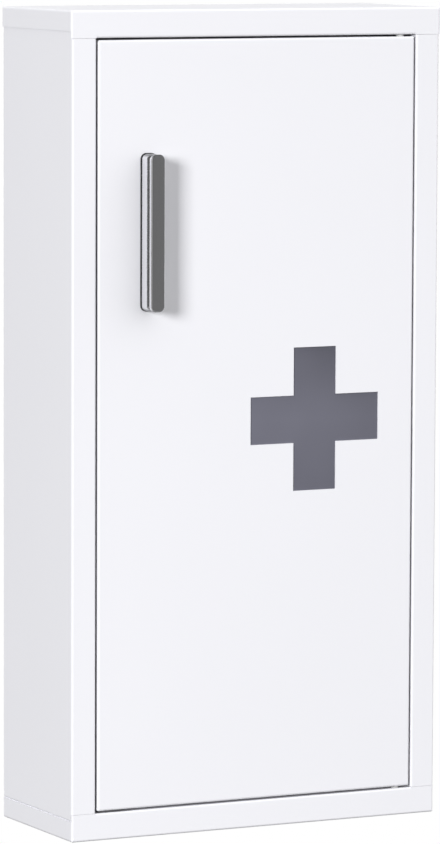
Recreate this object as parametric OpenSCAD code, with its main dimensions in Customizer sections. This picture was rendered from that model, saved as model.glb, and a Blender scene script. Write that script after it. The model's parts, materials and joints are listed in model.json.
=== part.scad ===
// Wall cabinet of folded sheet steel. A flush door turns on two pivot pins at its right edge and
// has a pull bar and a cross-shaped window. A magnetic catch holds the door shut and a cam lock
// in the floor of the cabinet bolts it.
// X runs to the right, Y to the wall and Z up. The origin is the centre of the four wall-screw
// holes, on the wall's face.

/* [Cabinet] */
// Width over the side flanges of the top
cabinet_w = 300; // [260:1:420]
// Height from the floor's underside to the top
cabinet_h = 600; // [480:1:800]
// Depth from the wall to the door's face
cabinet_d = 120; // [100:1:220]
// Width of the frame round the door
frame_w = 20; // [16:1:30]
// Height of the side and rear flanges of the top and the floor
side_flange = 15; // [10:1:16]
// Depth of the jambs behind the frame
jamb_d = 14; // [12:1:15]
// Width of the returns that carry the back sheet
rear_return = 12; // [8:1:20]

/* [Sheet steel] */
// Thickness of the sheet
sheet = 0.8; // [0.6:0.1:1.0]
// Outer radius of the folds
fold_r = 1.6; // [1.4:0.1:1.8]
// Gap at the butt joints between folded pieces
seam_gap = 0.15; // [0.05:0.05:0.3]
// Height of the slope that steps each side inwards behind the floor's flange
joggle_h = 1.2; // [0.8:0.1:2.5]

/* [Screws] */
// Radial play of a screw in a plain hole
screw_play = 0.15; // [0.1:0.05:0.3]
// Radial play of a screw in its thread
thread_play = 0.02; // [0.01:0.01:0.05]

/* [Wall screws] */
// Diameter of the wall-screw holes
wall_hole_d = 6.5; // [5:0.5:9]
// Distance between the holes across the back
wall_hole_dx = 200; // [120:5:220]
// Distance between the holes up the back
wall_hole_dz = 480; // [300:10:540]

/* [Door] */
// Gap between the door and the frame
door_gap = 1.4; // [1.0:0.1:1.8]
// Depth of the door's folded edge
door_d = 16; // [13:0.5:20]
// Width of the lips that return behind the door
door_lip = 8; // [6:0.5:9]

/* [Hinge] */
// Distance from the door's right edge to the pivot
pivot_edge = 10; // [9.5:0.1:11]
// Distance from the door's face back to the pivot
pivot_face = 4.5; // [4.2:0.1:4.8]
// Diameter of the pivot pins
pin_d = 3; // [3:0.5:4]
// Diameter of the pins' heads
pin_head_d = 5.6; // [5:0.1:5.6]
// Height of the pins' heads
pin_head_h = 1.5; // [1:0.1:3]
// Reach of the pins into the door opening
pin_reach = 5; // [4:0.5:8]
// Wall of the nylon bushes
bush_wall = 0.8; // [0.8:0.05:1.1]
// Width of the bushes' collars beyond their walls
bush_flange = 0.4; // [0.3:0.05:0.5]
// Length of the bushes inside the door
bush_l = 4; // [3:0.5:6]
// Radial play of turning parts
running_play = 0.05; // [0.02:0.01:0.1]
// End play of turning parts
end_play = 0.1; // [0.05:0.05:0.3]

/* [Window] */
// Span of the cross
cross_span = 105.5; // [80:0.5:120]
// Width of the cross's arms
cross_arm = 35; // [25:1:45]
// Distance from the door's right edge to the middle of the cross
cross_inset = 81.3; // [78:0.1:110]
// Height of the cross's middle above the door's middle
cross_rise = 0; // [-60:0.5:60]
// Overlap of the pane beyond the ends of the cross
pane_margin = 8; // [7:0.5:10]
// Thickness of the frosted pane
pane_t = 3; // [2.5:0.5:5]
// Corner radius of the pane
pane_corner_r = 5; // [2:0.5:10]

/* [Pane clips] */
// Width of a clip
clip_w = 16; // [12:1:24]
// Length of a clip's foot
clip_foot = 11; // [10:0.5:13]
// Length of a clip's tab over the pane
clip_tab = 4; // [3:0.5:5]
// Outer radius of a clip's folds
clip_fold_r = 1.2; // [1.1:0.1:1.2]
// Play between a clip and the pane's edge
clip_play = 0.4; // [0.2:0.1:0.8]
// Distance from the end of the foot to the stud
stud_inset = 5; // [4.5:0.1:5.5]
// Diameter of the weld studs
stud_d = 4; // [3:0.5:4]
// Length of the weld studs
stud_l = 6; // [5.5:0.5:10]
// Width across the flats of the nuts
clip_nut_af = 7; // [6:0.5:8]
// Height of the nuts
clip_nut_h = 3.2; // [2.4:0.1:4]

/* [Handle] */
// Width of the handle's face
handle_w = 11.6; // [10:0.2:16]
// Length of the handle
handle_l = 113.2; // [110:0.2:160]
// Height of the handle above the door
handle_h = 17.5; // [12:0.5:24]
// Radius of the handle's corners, seen from the front
handle_corner_r = 4; // [3.2:0.1:4.4]
// Radius of the edge round the handle's face
handle_edge_r = 3; // [0.8:0.1:3.1]
// Thickness of the dark seat between the handle and the door
handle_seat_t = 1.2; // [0.8:0.1:2.5]
// Width of the seat's rim beyond the handle
handle_seat_rim = 0.45; // [0.2:0.05:0.8]
// Distance from the door's left edge to the handle's middle
handle_inset = 39.7; // [30:0.1:60]
// Distance from the door's top to the handle's middle
handle_drop = 138.2; // [100:0.1:300]
// Distance between the handle's screws
handle_screw_span = 96; // [64:1:98]
// Diameter of the handle's screws
handle_screw_d = 4; // [3:0.5:5]
// Depth of a handle screw's hold in the bar
handle_screw_grip = 8; // [6:0.5:10]
// Diameter of the washers under the screws
washer_d = 9; // [8.6:0.2:12]
// Thickness of the washers
washer_t = 0.8; // [0.6:0.1:1.2]

/* [Shelves] */
// Depth of a shelf
shelf_d = 95; // [70:1:96]
// Height of a shelf's lips
shelf_lip = 12; // [8:1:20]
// Play between a shelf and the sides and the back
shelf_play = 0.6; // [0.4:0.1:1.5]
// Width of a bracket's ledge
ledge_w = 10; // [6:0.5:14]
// Height of a bracket's leg
ledge_h = 14; // [10:1:20]
// Distance from a shelf's lips to the ends of its brackets
ledge_inset = 10; // [4:1:20]

/* [Magnetic catch] */
// Width of the strike plate
strike_w = 22; // [20:1:26]
// Height of the strike plate
strike_h = 42; // [36:1:60]
// Thickness of the strike plate
strike_t = 1.2; // [0.8:0.1:1.2]
// Distance from the door's left edge to the strike plate
strike_inset = 1.6; // [1:0.1:2.4]
// Diameter of the rivets in the strike plate
rivet_d = 3; // [2.4:0.1:3.2]
// Diameter of the rivets' heads
rivet_head_d = 5; // [4.6:0.1:5.2]
// Height of the rivets' heads
rivet_head_h = 0.7; // [0.5:0.05:0.75]
// Distance between the rivets
rivet_span = 28; // [20:1:30]
// Gap between the pole plates and the strike plate
catch_gap = 0.3; // [0.2:0.1:0.6]
// Width of the catch's housing
catch_w = 13; // [11:0.5:14]
// Height of the catch's housing between its ears
catch_h = 40; // [36:1:50]
// Depth of the catch's housing
catch_d = 17; // [15:0.5:24]
// Length of each ear
catch_ear = 9; // [8:0.5:12]
// Thickness of the ears
catch_ear_t = 2; // [1.6:0.1:3]
// Distance from the end of the strike plate to the middle of the housing
catch_inset = 7.6; // [7:0.1:8]
// Height of the magnet
magnet_h = 30; // [20:1:32]
// Width of the magnet between its pole plates
magnet_w = 5; // [4:0.5:6]
// Depth of the magnet
magnet_d = 11; // [8:0.5:12]
// Thickness of a pole plate
pole_t = 1; // [0.8:0.1:1.4]
// Distance by which the pole plates stand proud of the magnet and of the housing
pole_rise = 0.8; // [0.4:0.1:1]
// Thickness of the catch's bracket
bracket_t = 1.2; // [1:0.1:1.6]
// Outer radius of the bracket's fold
bracket_fold_r = 2.4; // [2:0.1:3]
// Length of the bracket's welded leg
bracket_leg = 18; // [12:1:30]
// Diameter of the catch's screws
catch_screw_d = 3; // [2.5:0.5:3]

/* [Door stops] */
// Width of the stop lip beside the door opening
stop_w = 9; // [8:0.5:10]
// Diameter of a rubber stop
bumper_d = 7; // [5.5:0.1:7]
// Height of a rubber stop in front of the lip
bumper_h = 2; // [1.8:0.1:3]
// Gap between a rubber stop and the shut door
bumper_gap = 0.3; // [0.2:0.1:0.6]
// Diameter of a rubber stop's stem
bumper_stem_d = 3.6; // [3:0.1:4]
// Distance from the middle of the door to a rubber stop
bumper_rise = 200; // [100:5:230]

/* [Lock] */
// Distance from the cabinet's left side to the lock
lock_inset = 50; // [44:1:80]
// Distance from the rear of the door to the lock's axis
lock_setback = 16; // [15:0.5:20]
// Diameter of the lock's barrel
barrel_d = 18; // [16:0.5:20]
// Diameter of the lock's collar
collar_d = 22; // [21:0.5:26]
// Height of the lock's collar below the floor
collar_h = 2.2; // [1.5:0.1:3]
// Diameter of the lock's plug
plug_d = 13; // [11:0.5:14]
// Width across the flats of the lock's nut
lock_nut_af = 22; // [21:0.5:24]
// Height of the lock's nut
lock_nut_h = 4; // [3:0.5:6]
// Thickness of the cam
cam_t = 2; // [1.6:0.1:2.4]
// Width of the cam's arm
cam_w = 8; // [6:0.5:9]
// Diameter of the cam's hub
cam_hub_d = 16; // [14:0.5:18]
// Outer radius of the cam's fold
cam_fold_r = 2.8; // [2.5:0.1:3.2]
// Gap between the cam and the top of the door's lip
cam_over = 1.7; // [1:0.1:3]
// Overlap of the cam's bent tip with the door's lip
cam_bite = 5.4; // [3:0.1:5.6]
// Gap between the bent tip and the door's lip, with the lock shut
cam_play = 0.8; // [0.5:0.1:1.2]
// Gap round the bent tip where it passes through the lip
notch_play = 0.8; // [0.5:0.1:1.5]
// Side of the plug's square end
square_w = 7; // [6:0.5:7.5]
// Width of the keyway
keyway_w = 1.8; // [1.2:0.1:2.4]
// Length of the keyway
keyway_l = 8; // [6:0.5:9]
// Depth of the keyway
keyway_d = 12; // [8:1:20]

/* [Hidden] */
$fn = 48;
// Distance by which a cut runs past what it cuts
past = 1;
face_y = -cabinet_d;
skin_y = face_y + sheet;
lip_y = face_y + door_d;
body_w = cabinet_w - 2 * sheet;
open_w = cabinet_w - 2 * frame_w;
open_h = cabinet_h - 2 * frame_w;
door_w = open_w - 2 * door_gap;
door_h = open_h - 2 * door_gap;
stile_h = open_h - 2 * seam_gap;
pivot_x = door_w / 2 - pivot_edge;
pivot_y = face_y + pivot_face;
bush_d = pin_d + 2 * running_play + 2 * bush_wall;
collar_t = door_gap - end_play;
cross_x = door_w / 2 - cross_inset;
pane_w = cross_span + 2 * pane_margin;
clip_start = pane_w / 2 + clip_play;
handle_x = handle_inset - door_w / 2;
handle_z = door_h / 2 - handle_drop;
handle_head_d = 2 * handle_screw_d;
handle_head_h = 0.6 * handle_screw_d;
shelf_rear_y = -2 * sheet - shelf_play;
shelf_w = body_w - 2 * sheet - 2 * shelf_play;
shelf_rise = cabinet_h / 6;
strike_x = -door_w / 2 + strike_inset;
strike_y = lip_y + strike_t;
catch_x = strike_x + strike_w - catch_inset;
pole_y = strike_y + catch_gap;
catch_y = pole_y + pole_rise;
catch_base_y = catch_y + catch_d;
catch_screw_z = catch_h / 2 + catch_ear / 2;
catch_head_d = 2 * catch_screw_d;
catch_head_h = 0.6 * catch_screw_d;
stop_y = lip_y + bumper_gap + bumper_h;
bumper_x = -open_w / 2 + stop_w / 2;
floor_z = -cabinet_h / 2;
lip_top_z = -door_h / 2 + door_lip;
lock_x = -cabinet_w / 2 + lock_inset;
lock_y = lip_y + lock_setback;
cam_z = lip_top_z + cam_over;
barrel_top_z = cam_z - end_play;
tip_out = lock_setback + sheet + cam_play + cam_t;
tip_in = tip_out - cam_t;
tip_drop = cam_t + cam_over + cam_bite;
cam_screw_d = 4;

// Turns what is drawn along Z so that it runs along Y, towards the wall
module towards_wall() {
    rotate([-90, 0, 0]) children();
}

// Extrudes an outline drawn in Y and Z along X, about the middle
module across(length) {
    rotate([90, 0, 90]) linear_extrude(length, center = true) children();
}

// Extrudes an outline drawn in X and Z along Y, about the middle
module front_to_back(length) {
    rotate([90, 0, 0]) linear_extrude(length, center = true) children();
}

// A centred rectangle with round corners
module round_rect(size, r) {
    square([size[0], size[1] - 2 * r], center = true);
    square([size[0] - 2 * r, size[1]], center = true);
    for (x = [-1, 1], y = [-1, 1])
        translate([x * (size[0] / 2 - r), y * (size[1] / 2 - r)]) circle(r);
}

// A quarter of a ring, as a fold shows at the cut edge of a sheet
module fold_arc(start, r = fold_r, t = sheet) {
    intersection() {
        difference() {
            circle(r);
            circle(r - t);
        }
        rotate(start) square(r);
    }
}

// The cut edge of a folded strip: straight legs, and turns of 90 to the left or -90 to the right.
// It starts at the origin along X, with the strip to the left of its path.
module folded(legs, turns, r = fold_r, t = sheet, i = 0) {
    square([legs[i], t]);
    if (i < len(turns))
        translate([legs[i], 0])
            if (turns[i] > 0) {
                translate([0, r]) fold_arc(-90, r, t);
                translate([r, r]) rotate(90) folded(legs, turns, r, t, i + 1);
            } else {
                translate([0, t - r]) fold_arc(0, r, t);
                translate([r - t, t - r]) rotate(-90) folded(legs, turns, r, t, i + 1);
            }
}

// A centred block with all its edges rounded
module fold_block(size, r) {
    intersection() {
        linear_extrude(size[2] + 2 * past, center = true) round_rect([size[0], size[1]], r);
        front_to_back(size[1] + 2 * past) round_rect([size[0], size[2]], r);
        across(size[0] + 2 * past) round_rect([size[1], size[2]], r);
    }
}

// A closed box of folded sheet, before its open side is cut
module folded_box(size) {
    difference() {
        fold_block(size, fold_r);
        fold_block([for (s = size) s - 2 * sheet], fold_r - sheet);
    }
}

// Half of a section that stands on X, with a rounded upper edge at its right
module edge_section(half_w, h, edge_r) {
    square([half_w, h - edge_r]);
    square([half_w - edge_r, h]);
    intersection() {
        translate([half_w - edge_r, h - edge_r]) circle(edge_r);
        square([half_w, h]);
    }
}

// A bar on the XY plane with round corners and a rounded edge round its top
module soft_bar(size, corner_r, edge_r) {
    straight = [size[0] - 2 * corner_r, size[1] - 2 * corner_r];
    translate([-straight[0] / 2, -straight[1] / 2, 0]) cube([straight[0], straight[1], size[2]]);
    for (x = [0, 1]) {
        mirror([x, 0, 0])
            front_to_back(straight[1])
                translate([straight[0] / 2, 0]) edge_section(corner_r, size[2], edge_r);
        mirror([0, x, 0])
            across(straight[0])
                translate([straight[1] / 2, 0]) edge_section(corner_r, size[2], edge_r);
        for (y = [0, 1])
            mirror([x, 0, 0])
                mirror([0, y, 0])
                    translate([straight[0] / 2, straight[1] / 2, 0])
                        rotate_extrude(angle = 90) edge_section(corner_r, size[2], edge_r);
    }
}

// A ring or a sleeve on the XY plane
module ring(outer_d, inner_d, h) {
    difference() {
        cylinder(h = h, d = outer_d);
        translate([0, 0, -past]) cylinder(h = h + 2 * past, d = inner_d);
    }
}

// A hexagon nut on the XY plane
module hex_nut(across_flats, bore_d, h) {
    difference() {
        cylinder(h = h, d = across_flats / cos(30), $fn = 6);
        translate([0, 0, -past]) cylinder(h = h + 2 * past, d = bore_d);
    }
}

// A pan-head screw: its head stands on the XY plane and its shank runs down
module pan_screw(shank_d, shank_l, head_d, head_h) {
    translate([0, 0, -shank_l]) cylinder(h = shank_l, d = shank_d);
    rotate_extrude() edge_section(head_d / 2, head_h, 0.6 * head_h);
}

// The folded top, drawn with its outer face at z = 0. The floor is its mirror image.
module tray(width) {
    difference() {
        translate([0, (face_y - sheet) / 2, -cabinet_h / 2])
            folded_box([width, cabinet_d - sheet, cabinet_h]);
        translate([-cabinet_w, skin_y, -cabinet_h - past])
            cube([2 * cabinet_w, cabinet_d, cabinet_h + past - side_flange]);
        translate([-cabinet_w, face_y - past, -cabinet_h - past])
            cube([2 * cabinet_w, 2 * past + sheet, cabinet_h + past - frame_w]);
        translate([-open_w / 2, face_y - past, -frame_w - past])
            cube([open_w, sheet + 2 * past, fold_r + past]);
    }
    difference() {
        across(open_w) translate([face_y, -frame_w]) {
            translate([fold_r, fold_r]) fold_arc(180);
            translate([fold_r, 0]) square([jamb_d - fold_r, sheet]);
        }
        translate([pivot_x, pivot_y, -frame_w - past]) cylinder(h = sheet + 2 * past, d = pin_d);
    }
}

// A side with its stile and jamb, standing at the left
module side_panel(jamb_legs, jamb_turns) {
    flat_d = cabinet_d - sheet - 2 * fold_r;
    tail_z = cabinet_h / 2 - fold_r;
    step_z = cabinet_h / 2 - side_flange - seam_gap - joggle_h;
    translate([rear_return - body_w / 2, -sheet, -stile_h / 2])
        linear_extrude(stile_h)
            rotate(180)
                folded(concat([rear_return - fold_r, flat_d, frame_w - sheet - 2 * fold_r], jamb_legs),
                       concat([90, 90], jamb_turns));
    translate([-body_w / 2, face_y + fold_r, 0]) {
        translate([0, 0, stile_h / 2]) cube([sheet, flat_d, tail_z - stile_h / 2]);
        translate([0, flat_d / 2, 0])
            front_to_back(flat_d)
                polygon([[0, -stile_h / 2], [0, -step_z], [sheet, -step_z - joggle_h],
                         [sheet, -tail_z], [2 * sheet, -tail_z], [2 * sheet, -step_z - joggle_h],
                         [sheet, -step_z], [sheet, -stile_h / 2]]);
    }
}

// A shelf with a lip at its front and its rear
module shelf(top_z) {
    translate([0, shelf_rear_y, top_z - shelf_lip])
        across(shelf_w)
            rotate(90) folded([shelf_lip - fold_r, shelf_d - 2 * fold_r, shelf_lip - fold_r], [90, 90]);
}

// A pivot pin whose head rests on the rail, for the top of the door
module hinge_pin() {
    translate([pivot_x, pivot_y, open_h / 2]) {
        translate([0, 0, -pin_reach]) cylinder(h = pin_reach + sheet, d = pin_d);
        translate([0, 0, sheet]) cylinder(h = pin_head_h, d = pin_head_d);
    }
}

// A nylon bush with its collar between the door and the rail, for the top of the door
module hinge_bush() {
    translate([pivot_x, pivot_y, door_h / 2]) {
        ring(bush_d + 2 * bush_flange, pin_d + 2 * running_play, collar_t);
        translate([0, 0, -bush_l]) ring(bush_d, pin_d + 2 * running_play, bush_l);
    }
}

module cross_outline() {
    square([cross_span, cross_arm], center = true);
    square([cross_arm, cross_span], center = true);
}

// Places children at the middle of each side of the pane, looking outwards along X
module pane_sides() {
    translate([cross_x, skin_y, cross_rise])
        for (side = [0:3])
            rotate([0, 90 * side, 0]) children();
}

module handle_screw_places() {
    for (end = [-1, 1])
        translate([handle_x, skin_y, handle_z + end * handle_screw_span / 2]) children();
}

module strike_rivet_places() {
    for (end = [-1, 1])
        translate([-door_w / 2 + (door_lip + strike_inset) / 2, lip_y, end * rivet_span / 2]) children();
}

module top_cap() {
    color("white")
        translate([0, 0, cabinet_h / 2]) tray(cabinet_w);
}

module bottom_tray() {
    color("white")
        difference() {
            translate([0, 0, -cabinet_h / 2]) mirror([0, 0, 1]) tray(body_w);
            translate([lock_x, lock_y, floor_z - past]) cylinder(h = sheet + 2 * past, d = barrel_d);
        }
}

module left_side_panel() {
    jamb_l = stop_y - face_y - 2 * fold_r + sheet;
    color("white")
        difference() {
            side_panel([jamb_l, stop_w - fold_r + sheet], [90, -90]);
            for (end = [-1, 1])
                translate([bumper_x, stop_y - past, end * bumper_rise])
                    towards_wall() cylinder(h = sheet + 2 * past, d = bumper_stem_d);
        }
}

module right_side_panel() {
    color("white")
        mirror([1, 0, 0]) side_panel([jamb_d - fold_r], [90]);
}

module back_panel() {
    color("white")
        difference() {
            translate([0, -sheet / 2, 0])
                front_to_back(sheet)
                    square([body_w - 2 * fold_r, cabinet_h - 2 * fold_r], center = true);
            for (x = [-1, 1], z = [-1, 1])
                translate([x * wall_hole_dx / 2, -sheet - past, z * wall_hole_dz / 2])
                    towards_wall() cylinder(h = sheet + 2 * past, d = wall_hole_d);
        }
}

module shelf_brackets() {
    ledge_l = shelf_d - 2 * ledge_inset;
    color("white")
        for (side = [0, 1], level = [-1, 1])
            mirror([side, 0, 0])
                translate([ledge_w + sheet - body_w / 2, shelf_rear_y - shelf_d / 2,
                           level * shelf_rise - sheet])
                    front_to_back(ledge_l)
                        rotate(180) folded([ledge_w - fold_r, ledge_h - fold_r], [90]);
}

module upper_shelf() {
    color("white") shelf(shelf_rise);
}

module lower_shelf() {
    color("white") shelf(-shelf_rise);
}

module top_hinge_pin() {
    color("silver") hinge_pin();
}

module bottom_hinge_pin() {
    color("silver") mirror([0, 0, 1]) hinge_pin();
}

module catch_bracket() {
    plate_l = catch_x + catch_w / 2 + body_w / 2 - sheet;
    plate_h = catch_h + 2 * catch_ear;
    color("white")
        difference() {
            translate([sheet - body_w / 2, catch_base_y + bracket_leg, -plate_h / 2])
                linear_extrude(plate_h)
                    rotate(-90)
                        folded([bracket_leg - bracket_fold_r, plate_l - bracket_fold_r], [90],
                               bracket_fold_r, bracket_t);
            for (end = [-1, 1])
                translate([catch_x, catch_base_y - past, end * catch_screw_z])
                    towards_wall()
                        cylinder(h = bracket_t + 2 * past, d = catch_screw_d + 2 * thread_play);
        }
}

module catch_housing() {
    slot = [magnet_w + 2 * pole_t, magnet_h];
    color("whitesmoke")
        translate([catch_x, catch_y, 0])
            difference() {
                union() {
                    translate([0, catch_d / 2, 0])
                        front_to_back(catch_d) round_rect([catch_w, catch_h], 2);
                    translate([0, catch_d - catch_ear_t / 2, 0])
                        front_to_back(catch_ear_t)
                            round_rect([catch_w, catch_h + 2 * catch_ear], catch_w / 3);
                }
                translate([-slot[0] / 2, -past, -slot[1] / 2])
                    cube([slot[0], magnet_d + past, slot[1]]);
                for (end = [-1, 1])
                    translate([0, -past, end * catch_screw_z])
                        towards_wall()
                            cylinder(h = catch_d + 2 * past, d = catch_screw_d + 2 * screw_play);
            }
}

module catch_magnet() {
    color("dimgray")
        translate([catch_x - magnet_w / 2, catch_y, -magnet_h / 2])
            cube([magnet_w, magnet_d, magnet_h]);
}

module catch_pole_plates() {
    color("silver")
        for (side = [-1, 1])
            translate([catch_x + side * (magnet_w + pole_t) / 2, (pole_y + catch_y + magnet_d) / 2, 0])
                cube([pole_t, magnet_d + pole_rise, magnet_h], center = true);
}

module catch_screws() {
    color("silver")
        for (end = [-1, 1])
            translate([catch_x, catch_base_y - catch_ear_t, end * catch_screw_z])
                rotate([90, 0, 0])
                    pan_screw(catch_screw_d, catch_ear_t + bracket_t + 3, catch_head_d, catch_head_h);
}

// Rubber stops pressed into the lip beside the door opening
module door_bumpers() {
    barb_h = 1.5;
    color("dimgray")
        for (end = [-1, 1])
            translate([bumper_x, stop_y, end * bumper_rise]) {
                rotate([90, 0, 0])
                    rotate_extrude()
                        intersection() {
                            translate([0, bumper_h - bumper_d]) circle(bumper_d);
                            square([bumper_d / 2, bumper_h]);
                        }
                towards_wall() {
                    cylinder(h = sheet, d = bumper_stem_d);
                    translate([0, 0, sheet])
                        cylinder(h = barb_h, d1 = bumper_stem_d + 1, d2 = bumper_stem_d - 1);
                }
            }
}

module lock_housing() {
    chamfer = 0.6;
    color("silver")
        translate([lock_x, lock_y, floor_z])
            difference() {
                union() {
                    cylinder(h = barrel_top_z - floor_z, d = barrel_d);
                    translate([0, 0, chamfer - collar_h]) cylinder(h = collar_h - chamfer, d = collar_d);
                    translate([0, 0, -collar_h])
                        cylinder(h = chamfer, d1 = collar_d - 2 * chamfer, d2 = collar_d);
                }
                translate([0, 0, -collar_h - past])
                    cylinder(h = cabinet_h, d = plug_d + 2 * running_play);
            }
}

module lock_nut() {
    color("silver")
        translate([lock_x, lock_y, floor_z + sheet])
            hex_nut(lock_nut_af, barrel_d + 2 * thread_play, lock_nut_h);
}

module lock_plug() {
    plug_foot_z = floor_z - collar_h + end_play;
    color("gainsboro")
        translate([lock_x, lock_y, 0])
            difference() {
                union() {
                    translate([0, 0, plug_foot_z]) cylinder(h = cam_z - plug_foot_z, d = plug_d);
                    translate([-square_w / 2, -square_w / 2, cam_z]) cube([square_w, square_w, cam_t]);
                }
                translate([-keyway_w / 2, -keyway_l / 2, plug_foot_z - past])
                    cube([keyway_w, keyway_l, keyway_d + past]);
                translate([0, 0, cam_z - 2 * cam_screw_d])
                    cylinder(h = 2 * cam_screw_d + cam_t + past, d = cam_screw_d + 2 * thread_play);
            }
}

// The cam in its open position: its arm points to the left and its tip is bent down
module lock_cam() {
    color("silver")
        translate([lock_x, lock_y, cam_z])
            difference() {
                union() {
                    cylinder(h = cam_t, d = cam_hub_d);
                    translate([0, 0, cam_t])
                        front_to_back(cam_w)
                            rotate(180)
                                folded([tip_out - cam_fold_r, tip_drop - cam_fold_r], [90],
                                       cam_fold_r, cam_t);
                }
                translate([-square_w / 2, -square_w / 2, -past])
                    cube([square_w, square_w, cam_t + 2 * past]);
            }
}

module lock_cam_screw() {
    color("silver")
        translate([lock_x, lock_y, cam_z + cam_t])
            pan_screw(cam_screw_d, 2 * cam_screw_d, 2.5 * cam_screw_d, 0.6 * cam_screw_d);
}

// The door's pan. A notch in its lower lip lets the cam's bent tip through as the lock turns.
module door_panel() {
    near_x = sqrt(pow(tip_in, 2) - pow(lock_setback + sheet, 2)) - notch_play;
    far_x = sqrt(pow(tip_out, 2) + pow(cam_w / 2, 2) - pow(lock_setback, 2)) + notch_play;
    notch_z = cam_z + cam_t - tip_drop - notch_play;
    color("white")
        difference() {
            translate([0, face_y + door_d / 2, 0]) folded_box([door_w, door_d, door_h]);
            translate([0, lip_y, 0])
                cube([door_w - 2 * door_lip, 4 * sheet, door_h - 2 * door_lip], center = true);
            translate([cross_x, face_y, cross_rise]) front_to_back(4 * sheet) cross_outline();
            handle_screw_places()
                towards_wall()
                    cylinder(h = 4 * sheet, d = handle_screw_d + 2 * screw_play, center = true);
            strike_rivet_places()
                towards_wall() cylinder(h = 4 * sheet, d = rivet_d, center = true);
            for (end = [-1, 1])
                translate([pivot_x, pivot_y, end * door_h / 2])
                    cylinder(h = 4 * sheet, d = bush_d, center = true);
            translate([lock_x - far_x, lip_y - sheet - past, notch_z])
                cube([far_x - near_x, sheet + 2 * past, door_lip]);
        }
}

module top_hinge_bush() {
    color("white") hinge_bush();
}

module bottom_hinge_bush() {
    color("white") mirror([0, 0, 1]) hinge_bush();
}

module window_pane() {
    color("slategray")
        translate([cross_x, skin_y + pane_t / 2, cross_rise])
            front_to_back(pane_t) round_rect([pane_w, pane_w], pane_corner_r);
}

// Each clip's foot lies on the door's sheet and its tab on the pane
module pane_clips() {
    riser = pane_t - 2 * clip_fold_r + sheet;
    reach = clip_start + clip_fold_r + clip_foot;
    color("silver")
        pane_sides()
            difference() {
                translate([reach, 0, 0])
                    mirror([1, 0, 0])
                        linear_extrude(clip_w, center = true)
                            folded([clip_foot, riser, clip_tab], [90, -90], clip_fold_r, sheet);
                translate([reach - stud_inset, 0, 0])
                    towards_wall()
                        cylinder(h = 4 * sheet, d = stud_d + 2 * screw_play, center = true);
            }
}

module clip_studs() {
    reach = clip_start + clip_fold_r + clip_foot;
    color("silver")
        pane_sides()
            translate([reach - stud_inset, 0, 0]) towards_wall() cylinder(h = stud_l, d = stud_d);
}

module clip_nuts() {
    reach = clip_start + clip_fold_r + clip_foot;
    color("silver")
        pane_sides()
            translate([reach - stud_inset, sheet, 0])
                towards_wall() hex_nut(clip_nut_af, stud_d + 2 * thread_play, clip_nut_h);
}

module door_handle() {
    bar_h = handle_h - handle_seat_t;
    color("gray")
        difference() {
            translate([handle_x, face_y - handle_seat_t, handle_z])
                rotate([90, 0, 0]) soft_bar([handle_w, handle_l, bar_h], handle_corner_r, handle_edge_r);
            handle_screw_places()
                translate([0, -sheet - handle_seat_t - handle_screw_grip, 0])
                    towards_wall()
                        cylinder(h = handle_screw_grip + past, d = handle_screw_d + 2 * thread_play);
        }
}

module handle_seat() {
    seat_w = handle_w + 2 * handle_seat_rim;
    seat_l = handle_l + 2 * handle_seat_rim;
    color("dimgray")
        difference() {
            translate([handle_x, face_y - handle_seat_t / 2, handle_z])
                front_to_back(handle_seat_t)
                    round_rect([seat_w, seat_l], handle_corner_r + handle_seat_rim);
            handle_screw_places()
                towards_wall()
                    cylinder(h = 4 * (sheet + handle_seat_t), d = handle_screw_d + 2 * screw_play, center = true);
        }
}

module handle_screws() {
    shank_l = washer_t + sheet + handle_seat_t + handle_screw_grip;
    color("silver")
        handle_screw_places()
            translate([0, washer_t, 0])
                rotate([-90, 0, 0])
                    pan_screw(handle_screw_d, shank_l, handle_head_d, handle_head_h);
}

module handle_washers() {
    color("silver")
        handle_screw_places()
            towards_wall() ring(washer_d, handle_screw_d + 2 * screw_play, washer_t);
}

module strike_plate() {
    color("silver")
        difference() {
            translate([strike_x + strike_w / 2, lip_y + strike_t / 2, 0])
                front_to_back(strike_t) round_rect([strike_w, strike_h], 2);
            strike_rivet_places()
                towards_wall() cylinder(h = 4 * strike_t, d = rivet_d, center = true);
        }
}

module strike_rivets() {
    color("silver")
        strike_rivet_places()
            towards_wall() {
                translate([0, 0, -sheet]) cylinder(h = sheet + strike_t, d = rivet_d);
                translate([0, 0, -sheet - rivet_head_h]) cylinder(h = rivet_head_h, d = rivet_head_d);
                translate([0, 0, strike_t]) cylinder(h = rivet_head_h, d = rivet_head_d);
            }
}

top_cap();
bottom_tray();
left_side_panel();
right_side_panel();
back_panel();
shelf_brackets();
upper_shelf();
lower_shelf();
top_hinge_pin();
bottom_hinge_pin();
catch_bracket();
catch_housing();
catch_magnet();
catch_pole_plates();
catch_screws();
door_bumpers();
lock_housing();
lock_nut();
lock_plug();
lock_cam();
lock_cam_screw();
door_panel();
top_hinge_bush();
bottom_hinge_bush();
window_pane();
pane_clips();
clip_studs();
clip_nuts();
door_handle();
handle_seat();
handle_screws();
handle_washers();
strike_plate();
strike_rivets();
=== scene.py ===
import json
import math

import bmesh
import bpy
from mathutils import Matrix, Vector


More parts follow.
